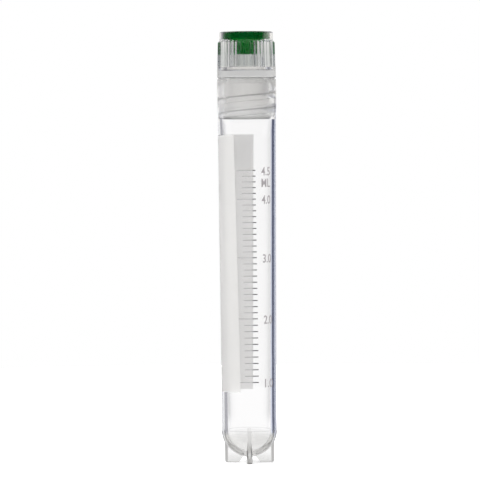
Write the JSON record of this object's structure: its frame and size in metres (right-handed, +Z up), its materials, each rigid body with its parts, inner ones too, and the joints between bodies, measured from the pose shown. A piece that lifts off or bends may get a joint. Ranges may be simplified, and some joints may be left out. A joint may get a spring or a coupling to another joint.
{
  "type": "cryogenic vial",
  "caption": "Clear round-bottomed vial on a star foot, with a ribbed internal-thread screw cap, colour insert, silicone gasket, printed scale and writing patch.",
  "frame": {"origin": "on the tube's axis, in the plane that the four legs of the foot stand on", "axes": "+Z up the tube's axis towards the cap; -Y is the front, where the printed scale is; one leg points along each of +X, -X, +Y and -Y"},
  "size_m": [0.0126, 0.0126, 0.092],
  "materials": {
    "clear_polypropylene": "glossy, clear",
    "natural_polypropylene": "satin, translucent",
    "green_plastic": "satin",
    "silicone": "matt, translucent"
  },
  "bodies": {
    "vial": {"tube": "clear_polypropylene"},
    "seal": {"gasket": "silicone"},
    "screw_cap": {"cap": "natural_polypropylene", "colour_insert": "green_plastic"}
  },
  "joints": [
    {"name": "cap_lift", "type": "slide", "parent": "vial", "child": "seal", "axis": [0, 0, 1], "range_m": [0, 0.009]},
    {"name": "cap_turn", "type": "hinge", "parent": "seal", "child": "screw_cap", "pos_m": [0, 0, 0.082], "axis": [0, 0, 1], "range_deg": [0, 1080]}
  ],
  "couplings": [
    {"joint": "cap_turn", "follows": "cap_lift", "rad_per_m": 2094.4}
  ]
}
